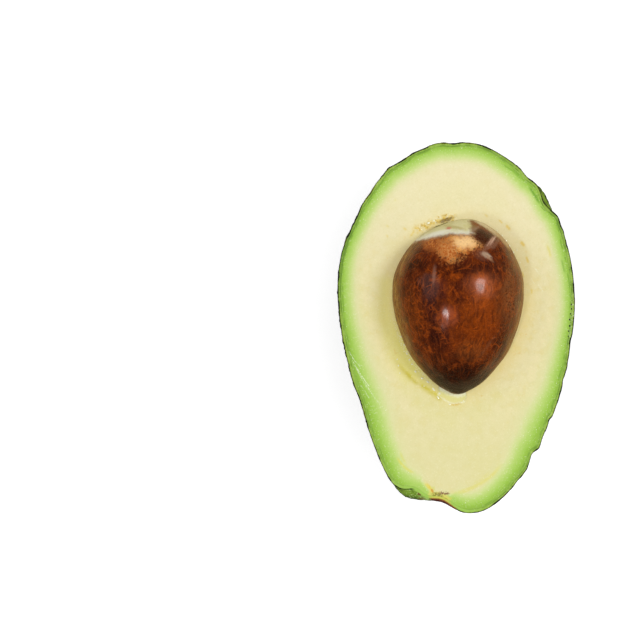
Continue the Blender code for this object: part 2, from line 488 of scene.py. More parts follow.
rind = {
    "sectors": 640,
    "outerRows": 112,
    "innerRows": 12,
    "rimShares": (0, 0.12, 0.25, 0.4, 0.55, 0.7, 0.85, 1),
    "edgeRound": 0.12,
    "rimInset": 0.12,
    "pebblePitch": 2.4,
    "pebbleHeight": 0.5,
    "lumpPitch": 6,
    "lumpHeight": 0.5,
    # how far up the rounded parts of pebbles and lumps lie level with the solid
    "pebbleLevel": 0.76,
    "lumpLevel": 0.22,
    # the pebbles' outlines wander by that many millimetres
    "wander": 1.8,
    "wanderScale": 330,
    "fade": 2.2,
    "roughRim": [
        (133, 8, 1), (118, 5, 0.8), (97, 6, 0.6), (62, 10, 0.7), (38, 8, 0.5), (312, 14, 0.7),
        (292, 8, 0.5), (200, 12, 0.3), (247, 6, 0.5),
    ],
    "leastRelief": 0.08,
    "rimRelief": 0.24,
    "smoothPlaces": [(256, 9, 1.1), (268, 6, 0.8), (51, 8, 1.1)],
    "smoothReach": 7,
    "smoothness": 0.92,
    # places of the cut edge: green by the stem, without a ring, paler, deeper
    "stemPlaces": [(259.6, 4.4, 1), (268, 5, 0.6)],
    "openPlaces": [(258, 7.5, 1.3), (270, 6, 1)],
    "palePlaces": [(354, 12, 1)],
    "deepPlaces": [(152, 13, 1), (170, 12, 0.5), (75, 8, 0.5), (38, 10, 0.6)],
    "seed": 4,
}

sectorAngles = np.linspace(-math.pi, math.pi, rind["sectors"], endpoint=False)


def makeRind():
    count = rind["sectors"]
    thick = fruit["skinThickness"]
    outerTilts = np.linspace(0, math.pi / 2, rind["outerRows"] + 1)[1:]
    innerTilts = np.linspace(math.pi / 2, 0, rind["innerRows"] + 1)[:-1]
    outer = [backRow(tilt, sectorAngles, 0) for tilt in outerTilts]
    inset = rind["rimInset"]
    outer[-1] = backRow(math.pi / 2, sectorAngles, inset * 0.3)
    outer[-1][:, 2] -= rind["edgeRound"]
    shares = rind["rimShares"]
    rim = [backRow(math.pi / 2, sectorAngles, inset + (thick - inset) * share) for share in shares]
    inner = [backRow(tilt, sectorAngles, thick) for tilt in innerTilts[1:]]
    middle = fruit["middle"]
    piece = closedRows("avocadoRind", outer + rim + inner, [[*middle, 0]], [[*middle, thick]])
    # both notes of the rows, then of the two poles
    rowsAcross = [0] * len(outer) + [share * thick for share in shares] + [thick] * len(inner)
    across = np.append(np.repeat(rowsAcross, count), [0, thick])
    rowsOutside = [1] * len(outer) + [0] * len(rim + inner)
    outside = np.append(np.repeat(rowsOutside, count), [1, 0])
    spots = pointsOf(piece)
    depth = fruit["cutHeight"] - spots[:, 2]
    angle = fromMiddle(spots)[0]
    stem = np.array([*fruit["stem"], fruit["cutHeight"]])
    lip = swell(angle, [(a, w, 1) for a, w, _ in fruit["lips"]])
    # the relief runs up to the cut only on some stretches of the rim
    rough = rind["leastRelief"] + rind["rimRelief"] * swell(angle, rind["roughRim"])
    room = np.minimum(spots[:, 2] / 3, depth / rind["fade"] + rough)
    smoothLip = unit(swell(angle, rind["smoothPlaces"])) * bell(depth, rind["smoothReach"])
    calm = 1 - rind["smoothness"] * smoothLip
    note(
        piece,
        outside=outside,
        across=across,
        fromStem=np.linalg.norm(spots - stem - [0, fruit["stemDepth"], 0], axis=1),
        depth=depth,
        lip=lip * bell(depth, fruit["lipReach"]),
        stemSide=swell(angle, rind["stemPlaces"]),
        noRing=unit(swell(angle, rind["openPlaces"])),
        paleSide=swell(angle, rind["palePlaces"]),
        deepSide=swell(angle, rind["deepPlaces"]),
        reliefShare=unit(room) * calm * outside,
    )
    return piece


def pebbleTree():
    # rounded pebbles with narrow valleys, over slower lumps
    tree, start = startTree("pebbledRind", ("Pitch", "Height", "Lump Pitch", "Lump Height"), True)
    place = start.node("GeometryNodeInputPosition")
    seeded = place.shifted(start.joined(start.other("Seed") * 0.037, 0, 0))
    wander = seeded.noise({"Scale": rind["wanderScale"], "Detail": 2}, 1)
    warped = seeded.shifted(wander.scaled(rind["wander"] * mm))
    pebble = warped.cells(1 / start.other("Pitch"), "DISTANCE_TO_EDGE").step(0, 0.36)
    lump = 0.5 - warped.cells(1 / start.other("Lump Pitch"), "SMOOTH_F1", Smoothness=0.6)
    pebbleRelief = (pebble - rind["pebbleLevel"]) * start.other("Height")
    lumpRelief = (lump - rind["lumpLevel"]) * start.other("Lump Height")
    height = start.named("reliefShare") * (pebbleRelief + lumpRelief)
    offset = start.node("GeometryNodeInputNormal").scaled(height)
    sockets = {"Geometry": start.other("Geometry"), "Offset": offset}
    moved = start.node("GeometryNodeSetPosition", {}, sockets)
    sockets = {"Geometry": moved, "Name": "pebble", "Value": pebble}
    settings = {"data_type": "FLOAT", "domain": "POINT"}
    finishTree(start, start.node("GeometryNodeStoreNamedAttribute", settings, sockets))
    return tree


def growNodes(piece, tree, values):
    # runs a node tree on a piece and keeps the result as its plain mesh
    grown = piece.modifiers.new(tree.name, "NODES")
    grown.node_group = tree
    for item in tree.interface.items_tree:
        if item.in_out == "INPUT" and item.name in values:
            grown[item.identifier] = values[item.name]
    bpy.context.view_layer.update()
    evaluated = piece.evaluated_get(bpy.context.evaluated_depsgraph_get())
    mesh = bpy.data.meshes.new_from_object(evaluated)
    piece.modifiers.remove(grown)
    old = piece.data
    piece.data = mesh
    bpy.data.meshes.remove(old)
    mesh.name = piece.name
    mesh.shade_smooth()
    return piece


def rindFinish():
    material, place = startMaterial("pebbledRind")
    across = place.read("across")
    outside = place.read("outside")
    pebble = place.read("pebble")
    fromStem = place.read("fromStem")
    depth = place.read("depth")
    lip = place.read("lip")
    stemSide = place.read("stemSide")
    slow = place.grain(9, 4, 0.55)
    patches = place.grain(3.2, 3, 0.6)
    fine = place.grain(0.5, 3, 0.6)
    grit = place.grain(0.16, 2, 0.7)

    # the outside: near black pebbles, greener valleys, olive and brown patches, pale pores
    tops = slow.ramp([(0.32, (15, 19, 9)), (0.5, (23, 31, 12)), (0.7, (40, 50, 17))])
    valleys = slow.ramp([(0.32, (20, 27, 9)), (0.55, (34, 46, 13)), (0.75, (56, 68, 20))])
    rindColour = valleys.tint(tops, pebble.step(0, 0.8))
    rust = place.grain(2.6, 5, 0.7).step(0.62, 0.74) * slow.step(0.42, 0.6)
    pores = place.cells(1 / (1.9 * mm)).step(0.16, 0.08) * fine.step(0.4, 0.6)
    rindColour = rindColour.tint(
        (62, 40, 20), rust * 0.6,
        (104, 104, 52), pores * 0.5,
        (16, 18, 9), fine.step(0.6, 0.3) * 0.35,
    )

    # the drawn in places at the cut: streaky green, and a smooth green face by the stem, darkening lower
    # down as painted shade
    streaks = place.bent(2.5, 0.8).stretched(0.35, 0.35, 1.6).grain(0.6, 3, 0.6)
    lipShare = streaks.step(0.36, 0.54) * (1 - depth.step(2, 6) * 0.7) * 0.95
    lipColour = rindColour.tint((118, 148, 36), lipShare)
    # painted shade: the green face goes from light green at the cut to near black lower down, where it
    # turns away from the lights
    shadedDepth = depth / 4 + (fine - 0.5) * 0.35 + (patches - 0.5) * 0.5
    greenFace = shadedDepth.ramp([
        (0, (134, 170, 56)), (0.26, (122, 156, 42)), (0.44, (100, 132, 28)),
        (0.62, (70, 96, 16)), (0.78, (38, 52, 9)), (0.92, (20, 26, 7)),
    ])
    sideways = place.part(0) / mm
    greenFace = greenFace.tint(
        (168, 198, 106), sideways.step(-10.5, -7.5) * shadedDepth.step(0.8, 0.4) * 0.7,
        (202, 220, 150), fine.step(0.55, 0.66) * 0.6,
        (48, 74, 18), fine.step(0.46, 0.36) * 0.75,
        (112, 54, 20), place.patch((-9.9, -44.7), (0.6, 0.4), 0, (fine - 0.5) * 1.2) * 0.9,
        (112, 66, 26), place.patch((-9.3, -46.1), (0.9, 0.35), 0, (fine - 0.5) * 1.6) * 0.6,
    )
    lipColour = lipColour.tint(greenFace, stemSide.step(0.1, 0.35))
    rindColour = rindColour.tint(lipColour, (lip + (patches - 0.5) * 0.3).step(0.04, 0.3))

    # the cut edge: a broken dark line, then grainy grey green, then deep green, with a painted shade line
    # where skin meets flesh
    edgeWidth = patches.step(0.4, 0.66) * 0.3 + 0.17
    band = (across + (fine - 0.5) * 0.3) / fruit["skinThickness"]
    cutColour = band.ramp([
        (0, (98, 124, 30)), (0.22, (126, 152, 46)), (0.5, (150, 180, 74)),
        (0.8, (146, 180, 74)), (1, (140, 178, 66)),
    ])
    # painted shade: a broken darker green line near the inner edge of the cut, for the shadowed gap between
    # skin and flesh
    gapShadeLine = (band - 0.82 + (slow - 0.5) * 0.9).size().step(0.2, 0.04) * patches.step(0.4, 0.55)
    dark = (across / edgeWidth).step(1.3, 0.75)
    olive = place.grain(5, 2).step(0.54, 0.62)
    darkColour = fine.ramp([(0.3, (18, 22, 5)), (0.7, (36, 46, 10))])
    cutColour = cutColour.tint(
        (118, 152, 50), patches.step(0.45, 0.62) * 0.5,
        (96, 134, 40), place.read("deepSide") * (0.6 + fine.step(0.45, 0.6) * 0.4),
        (196, 212, 140), fine.step(0.58, 0.68) * 0.35,
        (206, 218, 176), place.read("paleSide") * fine.step(0.5, 0.62) * 0.55,
        (90, 124, 38), fine.step(0.44, 0.34) * 0.35,
        (96, 138, 36), gapShadeLine * (1 - place.read("noRing")) * 0.7,
    )
    darkColour = darkColour.tint(
        (104, 108, 22), olive * 0.7,
        (86, 34, 20), place.grain(2.1, 2).step(0.66, 0.7) * 0.8,
    )
    cutColour = cutColour.tint(
        (156, 196, 84), place.read("noRing") * (0.7 + fine * 0.3),
        darkColour, dark * stemSide.step(0.75, 0.35),
    )
    colour = cutColour.tint(rindColour, outside.step(0.2, 0.6))

    # corky brown where the stem sat, with yellower tissue on the cut beside it
    scar = place.patch((-3.6, -48), (3.9, 3.2), -24, (fine - 0.5) * 0.7 + (patches - 0.5) * 0.4, 0.12)
    scar = scar * (fromStem + (fine - 0.5) * 1.2 + (patches - 0.5) * 1.6).step(5.4, 4.6)
    corkColour = fine.ramp([(0.35, (52, 20, 16)), (0.5, (84, 38, 28)), (0.66, (132, 76, 44))])
    corkColour = corkColour.tint((190, 110, 36), depth.step(0.3, 0.05) * 0.6)
    edgeBrown = scar * outside.step(0.5, 0.1) * (across + (fine - 0.5) * 0.4).step(0.34, 0.1)
    yellowed = place.patch((-4.6, -46.9), (3.1, 1.5), -14, (fine - 0.5) * 0.8, 0.2)
    colour = colour.tint(
        corkColour, scar * outside.step(0.1, 0.5),
        (150, 84, 36), edgeBrown * 0.9,
        (204, 192, 84), yellowed * outside.step(0.5, 0.1) * across.step(0.15, 0.4) * 0.85,
    )

    roughness = 0.5 + outside * 0.05 + (fine - 0.5) * 0.3
    height = fine * 0.5 + grit * 0.3
    fixed = {"Specular IOR Level": 0.14, "Coat Weight": 0.03, "Coat Roughness": 0.3}
    finishMaterial(place, colour, roughness, height, 0.05, fixed)
    return material


# flesh

pulp = {
    "faceRows": 112,
    "backRows": 10,
    "hollowRows": 16,
    "hollowGap": -0.2,
    "calming": 61,
    # slow and quick unevenness of the cut, then of the torn place
    "waves": [(0.05, 4, 0), (0.025, 1.1, 7)],
    "tornWaves": [(0.3, 0.8, 3), (0.25, 0.4, 9)],
    # how far the green runs in from the rim, by direction
    "greenReach": [
        (0, 4.3), (35, 4.6), (90, 5.2), (140, 4.8), (180, 4.9), (215, 6.9), (236, 7.6), (256, 6.4),
        (272, 5.6), (285, 6.6), (300, 7.5), (320, 5.8),
    ],
    # paths are seen from above
    "groove": [
        (-17.8, -4), (-16.8, -7.3), (-15.4, -9.9), (-13.6, -12), (-11.5, -13.9), (-9.4, -15.4),
        (-7.5, -16.7), (-5.8, -17.9), (-4.5, -18.8),
    ],
    "grooveDepth": 0.22,
    "grooveWidth": 0.75,
    "dip": [(-19, 12), (-19.4, 4), (-18.6, -3), (-16.6, -8.4), (-12.8, -12.6)],
    "dipDepth": 0.24,
    "dipWidth": 2.2,
    "ledge": [
        (-5.2, -18.1), (-3.9, -19.2), (-2.4, -20.2), (-0.8, -20.75), (0.8, -20.5), (2.2, -20.2),
        (2.7, -18.6),
    ],
    "ledgeDrop": 0.22,
    "strands": [
        # path, width, strength
        ([(-15.8, -35.1), (-14.9, -36.5), (-13.1, -38.2), (-11.6, -39)], 0.3, 0.75),
        ([(-15, -33.6), (-14.6, -34.9), (-13.6, -36.6)], 0.25, 0.5),
        ([(-8.5, -42), (-7.2, -43), (-6.4, -43.9)], 0.35, 1),
        ([(-1.3, -44.5), (2.3, -44), (5.5, -42.5), (7.7, -41.2), (9.9, -39.4), (12, -36.9)], 0.5, 0.5),
        ([(0.6, -44.1), (3.6, -43.1), (6.6, -41.6), (8.6, -40.2)], 0.3, 0.5),
        ([(4.4, -42.2), (6.6, -40.9), (8.8, -39)], 0.35, 0.25),
        ([(24.4, 22.3), (25, 20.6), (25.4, 19)], 0.35, 0.5),
        ([(-16.7, 34.6), (-16.3, 34.1)], 0.25, 0.35), ([(-14.3, 26.9), (-13.4, 26.3)], 0.25, 0.4),
        ([(-18.9, 27.6), (-18.3, 27.2)], 0.22, 0.4), ([(-18.9, 24.9), (-18.3, 24.4)], 0.22, 0.35),
        ([(7.7, 30.6), (8.4, 29.8)], 0.25, 0.35), ([(11.5, 29), (12.4, 28.2)], 0.25, 0.5),
        ([(13.4, 27.6), (14.4, 26.4)], 0.35, 0.6), ([(17.3, 23.2), (18.3, 22)], 0.4, 0.7),
        ([(18.8, 19.2), (19.4, 17.4)], 0.3, 0.55), ([(20.2, 10.4), (20.3, 9.2)], 0.25, 0.4),
        ([(17.8, 15), (18, 13.6)], 0.25, 0.4), ([(-12.4, 24.6), (-11.4, 25.9)], 0.3, 0.4),
    ],
    "scratches": [
        ([(-28.9, -6.4), (-27.6, -8.6), (-26, -10.4)], 0.1, 0.9),
        ([(-28, -8.8), (-26.6, -11.6), (-24.9, -14.8)], 0.1, 0.7),
        ([(-26.6, -11.2), (-25.2, -13.4), (-23.6, -15.6)], 0.14, 0.9),
        ([(-27.4, -9.8), (-25.8, -12.6)], 0.09, 0.7),
        ([(-25.4, -13.9), (-24, -16.4)], 0.1, 0.6),
        ([(-24.8, -14.6), (-22.6, -18), (-20.6, -20.6)], 0.12, 0.6),
        ([(-25.6, -15.6), (-23.6, -18.8)], 0.1, 0.6),
        ([(21.2, 16), (22.3, 14.4)], 0.12, 0.7),
        ([(22, 11.6), (23.4, 9.7)], 0.12, 0.6),
        ([(20.2, 13.2), (21, 11.8)], 0.1, 0.5),
    ],
    # deep green creases just inside the rim
    "creases": [
        ([(19.5, 38.2), (21, 35.8), (22.4, 33.4)], 0.35, 0.8),
        ([(12, 44.2), (15.2, 42.2), (17.6, 39.8)], 0.22, 0.5),
        ([(28.3, 18.6), (29.2, 14.6)], 0.25, 0.5),
    ],
    # where the pulp tore off the seed
    "torn": [(-10.6, 26.4), (-8.3, 27.3), (-6, 28.5), (-3.4, 29.4), (-1, 29.8)],
    "tornWidth": 1.15,
    "gapPlaces": [(105, 3, 0.34), (98.5, 3, 0.3)],
    "stripPlaces": [(222, 30, 1.1)],
    "stemPlaces": [(258, 6.5, 1.1), (268, 7, 0.8)],
    "calmRimDrop": 1.4,
    "leastDrop": 0.2,
}

seedOutline = smoothCurve(seed["profile"], False, seed["curveSteps"])
seedRing = np.vstack([seedOutline, (seedOutline * [-1, 1])[::-1][1:-1]])
seedRing[:, 0] += seedLean(seedRing[:, 1]) + fruit["middle"][0]
seedRing[:, 1] += fruit["middle"][1]
seedAngle, seedReach = polar(seedRing)


def hollowReach(angle):
    gap = pulp["hollowGap"] + swell(angle, pulp["gapPlaces"])
    return np.interp(angle, seedAngle, seedReach, period=2 * math.pi) + gap


def unevenness(spots, waves):
    return sum(height * waviness(spots, size, offset) for height, size, offset in waves)


def lines(spots, paths, taper, least):
    # soft lines along paths with their widths and strengths, weaker towards their ends
    mask = np.zeros(len(spots))
    for path, width, strength in paths:
        away, along = fromPath(spots, path)
        ends = unit(taper * np.minimum(along, 1 - along) + least)
        mask = np.maximum(mask, strength * bell(away, width) * ends)
    return mask


def makePulp():
    count = rind["sectors"]
    inset = fruit["skinThickness"]
    cut = fruit["cutHeight"]
    middle = np.array(fruit["middle"])
    rim = backRow(math.pi / 2, sectorAngles, inset)
    reach = hollowReach(sectorAngles)
    spokes = np.stack([np.cos(sectorAngles), np.sin(sectorAngles)], 1)
    mouth = np.column_stack([middle + reach[:, None] * spokes, np.full(count, cut)])
    tilts = np.linspace(0, math.pi / 2, pulp["backRows"] + 1)[1:-1]
    rows = [backRow(tilt, sectorAngles, inset) for tilt in tilts]
    for share in np.linspace(0, 1, pulp["faceRows"]):
        rows.append(rim * (1 - share) + mouth * share)
    for step in range(1, pulp["hollowRows"]):
        turn = step / pulp["hollowRows"] * math.pi / 2
        row = middle + (reach * math.cos(turn))[:, None] * spokes
        y = row[:, 1] - middle[1]
        width = seedWidth(y, 0.1)
        x = row[:, 0] - middle[0] - seedLean(y)
        drop = np.sqrt(np.clip(width**2 - x**2, 0, None))
        rows.append(np.column_stack([row, cut - np.maximum(drop, pulp["leastDrop"] * step)]))
    piece = closedRows("avocadoFlesh", rows, [[*middle, inset]], [[*middle, cut - seed["halfWidth"] - 0.3]])

    spots = pointsOf(piece)
    angle, radius = fromMiddle(spots)
    onFace = spots[:, 2] > cut - 0.01
    fromSkin = fromLoop(spots, rim[::3, :2])
    # the green follows a calmer line than the bumpy rim
    window = np.hanning(pulp["calming"])
    calm = np.convolve(np.tile(fromMiddle(rim)[1], 3), window / window.sum(), "same")[count:2 * count]
    calmRim = middle + np.maximum(calm, rimReach(sectorAngles) - pulp["calmRimDrop"])[:, None] * spokes
    green = 0.5 * fromSkin + 0.5 * fromLoop(spots, calmRim[::4]) + inset
    directions, reaches = zip(*pulp["greenReach"])
    green /= np.interp(np.degrees(angle) % 360, directions, reaches, period=360)
    fromSeed = radius - hollowReach(angle)
    grooveAway, grooveAlong = fromPath(spots, pulp["groove"])
    groove = bell(grooveAway, pulp["grooveWidth"]) * unit((grooveAlong - 0.1) * 3)
    dip = bell(fromPath(spots, pulp["dip"])[0], pulp["dipWidth"])
    ledgeAway, ledgeAlong = fromPath(spots, pulp["ledge"])
    ledgePath = smoothCurve(pulp["ledge"], False, 6)
    ledgeAngle, ledgeReach = polar(ledgePath)
    inside = np.interp(angle, ledgeAngle, ledgeReach, left=0, right=0) - radius
    ledge = unit(inside / 0.4)
    ledge = ledge * ledge * (3 - 2 * ledge) * unit(1.6 - fromSeed / 2.2)
    torn = unit(1.3 - fromPath(spots, pulp["torn"])[0] / pulp["tornWidth"])

    lift = np.zeros(len(spots))
    face = np.where(onFace)[0]
    lift[face] = unevenness(spots[face], pulp["waves"])
    tearing = np.where(onFace & (torn > 0))[0]
    lift[tearing] += torn[tearing] * unevenness(spots[tearing], pulp["tornWaves"])
    lift -= pulp["grooveDepth"] * groove + pulp["dipDepth"] * dip + pulp["ledgeDrop"] * ledge
    lift *= unit(fromSkin / 0.6)
    spots[:, 2] += np.where(onFace, lift, 0)
    movePoints(piece, spots)

    nearSeed = unit(1.5 - fromSeed / 3.2)
    nearLedge = unit(1.5 - abs(ledgeAlong - 0.56) * 8)
    note(
        piece,
        green=green,
        fromSkin=fromSkin,
        fromSeed=fromSeed,
        strand=lines(spots, pulp["strands"], 4, 0.3) * onFace,
        scratch=lines(spots, pulp["scratches"], 0, 1) * onFace,
        crease=lines(spots, pulp["creases"], 5, 0) * onFace,
        groove=groove * onFace,
        dip=dip * onFace,
        strip=unit(swell(angle, pulp["stripPlaces"])) * nearSeed * onFace,
        ledge=ledge * onFace,
        ledgeRim=bell(inside - 0.3, 0.22) * (ledge > 0) * onFace,
        ledgeLine=bell(ledgeAway, 0.25) * nearLedge * onFace,
        torn=torn * onFace,
        stemSide=unit(swell(angle, pulp["stemPlaces"])),
        speckled=np.clip(1.5 - green, 0.12, 1) * onFace * (fromSkin > 0.3),
    )
    return piece


def fleshFinish():
    material, place = startMaterial("moistFlesh")
    green = place.read("green")
    fromSkin = place.read("fromSkin")
    fromSeed = place.read("fromSeed")
    slow = place.grain(11, 3, 0.5)
    patches = place.grain(2.4, 3, 0.6)
    fine = place.grain(0.6, 3, 0.65)
    grit = place.grain(0.22, 2, 0.6)

    # green by the rim fades to cream; the cream reaches out to the stem
    core = place.patch((-4, -40.6), (4.2, 4.2), 0, (patches - 0.5) * 0.6, 0.45)
    spread = green + (slow - 0.5) * 0.14 + (patches - 0.5) * 0.1 + (fine - 0.5) * 0.16 + core * 0.8
    spread = spread.larger(place.read("stemSide") * 0.5)
    colour = (spread / 1.6).ramp([
        (0, (143, 180, 74)), (0.13, (142, 181, 66)), (0.19, (147, 187, 66)),
        (0.25, (158, 197, 80)), (0.38, (180, 208, 108)), (0.5, (202, 215, 139)),
        (0.64, (218, 217, 160)), (0.95, (227, 217, 166)),
    ])
    nearSeed = (fromSeed + (patches - 0.5) * 3).step(6, 0.2)
    lengthwise = place.part(1) / mm
    bundles = (fromSeed - 3).size().step(1.2, 0.2) * place.grain(1.6, 3, 0.6).step(0.6, 0.75)
    strand = place.read("strand") * (fine.step(0.2, 0.6) * 0.4 + 0.6)
    flap = place.read("ledge")
    tornMask = place.read("torn")
    clumps = place.grain(1.3, 4, 0.65)
    colour = colour.tint(
        (234, 222, 172), patches.step(0.42, 0.62) * spread.step(0.9, 1.5) * 0.6,
        (226, 210, 140), patches.step(0.5, 0.36) * spread.step(0.8, 1.4) * 0.4,
        (222, 214, 136), place.grain(16, 2).step(0.45, 0.62) * spread.step(0.9, 1.5) * 0.35,
        (212, 212, 134), fine.step(0.5, 0.7) * spread.step(0.8, 1.4) * 0.25,
        # painted light: a warm yellow glow near the seed, standing for light passing through the flesh into
        # the pit's shade
        (238, 216, 138), nearSeed * 0.6,
        # painted shading: lighter towards the blossom end, darker towards the stem end
        (230, 222, 184), lengthwise.step(5, 34) * spread.step(0.8, 1.3) * 0.55,
        (214, 209, 152), lengthwise.step(-8, -38) * spread.step(0.8, 1.3) * 0.6,
        # painted light: pale yellow bounce light in the pit's cast shadow along the dip
        (232, 224, 120), place.read("dip") * (0.25 + patches * 0.4),
        # painted shade colour: saturated yellow-green on the strip beside the seed that lies in the pit's
        # shadow
        (226, 222, 100), place.read("strip") * 0.6,
        (226, 208, 116), fromSeed.step(0.35, -0.3) * 0.7,
        (222, 184, 92), bundles * 0.4,
        # darker golden yellow in the groove: a yellower tone, and painted shade in the recess
        (208, 194, 62), place.read("groove") * patches.step(0.26, 0.56) * 0.9,
        (98, 152, 32), place.read("crease"),
        (216, 208, 76), strand,
        (228, 180, 84), strand * fromSeed.step(10, 6) * 0.9,
        (224, 222, 140), flap * 0.7,
        (240, 240, 206), flap * (fromSeed + (fine - 0.5) * 1.4).step(1.5, 0.4) * 0.8,
        (244, 244, 210), place.read("ledgeRim") * fine.step(0.36, 0.5) * 0.7,
        (214, 176, 56), place.read("ledgeLine") * patches.step(0.36, 0.52) * 0.8,
        (224, 192, 84), tornMask * clumps.step(0.42, 0.56) * 0.85,
        (172, 132, 44), tornMask * clumps.step(0.56, 0.68) * 0.8,
        (122, 92, 34), place.patch((-2.9, 29), (2.2, 0.5), 18, (clumps - 0.5) * 2.5, 0.3) * 0.8,
    )

    # yellower tissue with brown specks by the stem
    rag = (fine - 0.5) * 0.9 + (patches - 0.5) * 0.5
    crumbs = place.patch((-5.1, -45.1), (1.5, 0.75), -12, rag, 0.3)
    specks = place.patch((-3.3, -44.5), (1.5, 0.55), -4, rag, 0.3) * fine.step(0.44, 0.56)
    stroke = place.patch((-7.3, -43), (0.5, 1.4), 32, rag * 1.6, 0.6)
    colour = colour.tint(
        (216, 206, 96), place.patch((-4.5, -45.6), (2.9, 1.3), -16, rag, 0.3) * 0.8,
        (206, 206, 108), place.patch((-7, -45), (0.7, 2.4), -22, rag, 0.4) * 0.6,
        (122, 116, 34), crumbs * fine.step(0.36, 0.5) * 0.85,
        (190, 120, 44), place.patch((-3.2, -46), (0.9, 0.35), -20, rag, 0.3) * fine.step(0.4, 0.5) * 0.8,
        (120, 70, 44), specks * 0.9,
        (196, 104, 38), place.patch((-6.5, -43.9), (0.3, 0.5), 30, rag, 0.3) * 0.8,
        (222, 200, 74), stroke * fine.step(0.36, 0.54) * 0.75,
    )

    speck = place.grain(0.42, 2, 0.6)
    # painted highlights: tiny white wet glints along the strip beside the seed
    paintedGlints = place.read("strip") * (fromSeed - 0.8 + (fine - 0.5) * 1.6).size().step(0.8, 0.2)
    # painted shade: a broken darker green line just inside the skin, for the shadowed gap between skin and
    # flesh
    gapShadeLine = (fromSkin - 0.25 + (slow - 0.5) * 1.6).size().step(0.3, 0.05) * patches.step(0.42, 0.58)
    colour = colour.tint(
        (244, 240, 206), speck.step(0.58, 0.7) * 0.25,
        (210, 200, 134), speck.step(0.44, 0.3) * spread.step(0.5, 1) * 0.25,
        (246, 248, 226), place.read("scratch") * grit.step(0.42, 0.6) * 0.9,
        (250, 250, 226), paintedGlints * grit.step(0.54, 0.62) * 0.8,
        (108, 152, 44), gapShadeLine * 0.6 * place.read("stemSide").step(0.3, 0.05),
    )

    roughness = 0.42 + (fine - 0.5) * 0.3 - place.read("groove") * 0.15
    height = fine * 0.5 + grit * 0.3 + patches * 0.3
    fixed = {"Specular IOR Level": 0.2, "Coat Weight": 0.08, "Coat Roughness": 0.2}
    finishMaterial(place, colour, roughness, height, 0.05, fixed)
    return material


# seed

def makeSeed():
    # a turned egg with its blunt end leaning, then dents and fine ridges
    turns = np.linspace(0, 2 * math.pi, seed["sides"], endpoint=False)
    ends = np.cos(np.linspace(0, math.pi, seed["rows"] + 2))[1:-1] * seed["halfLength"]
    middle = np.array([*fruit["middle"], fruit["cutHeight"]])
    rows = []
    for y in ends[::-1]:
        width = float(seedWidth(y))
        x = width * np.sin(turns) + float(seedLean(y))
        rows.append(middle + np.stack([x, np.full(len(turns), y), width * np.cos(turns)], 1))
    tip = middle + [0, -seed["halfLength"], 0]
    crown = middle + [seed["lean"], seed["halfLength"], 0]
    piece = closedRows("avocadoPit", rows, [tip], [crown])
    spots = pointsOf(piece)
    along = spots[:, 1] - middle[1]
    turn = np.append(np.tile(turns, len(rows)), [0, 0])
    # streaks run from end to end, so they are laid out round the seed
    wrapped = np.stack([12 * np.sin(turn), 12 * np.cos(turn), along], 1) * mm
    layer = piece.data.attributes.new("wrapped", "FLOAT_VECTOR", "POINT")
    layer.data.foreach_set("vector", wrapped.astype(np.float32).ravel())
    angle, reach = fromMiddle(spots)
    note(
        piece,
        inside=np.interp(angle, seedAngle, seedReach, period=2 * math.pi) - reach,
        aboveCap=spots[:, 1] - np.interp(spots[:, 0], *zip(*seed["capLine"])),
    )
    outward = (spots - middle) * [1, 0.5, 1]
    outward /= np.linalg.norm(outward, axis=1)[:, None]
    relief = 0.14 * waviness(spots, 6, 2) + 0.035 * waviness(spots * [1, 0.45, 1], 1.6, 5)
    movePoints(piece, spots + outward * (relief - 0.02)[:, None])
    return piece


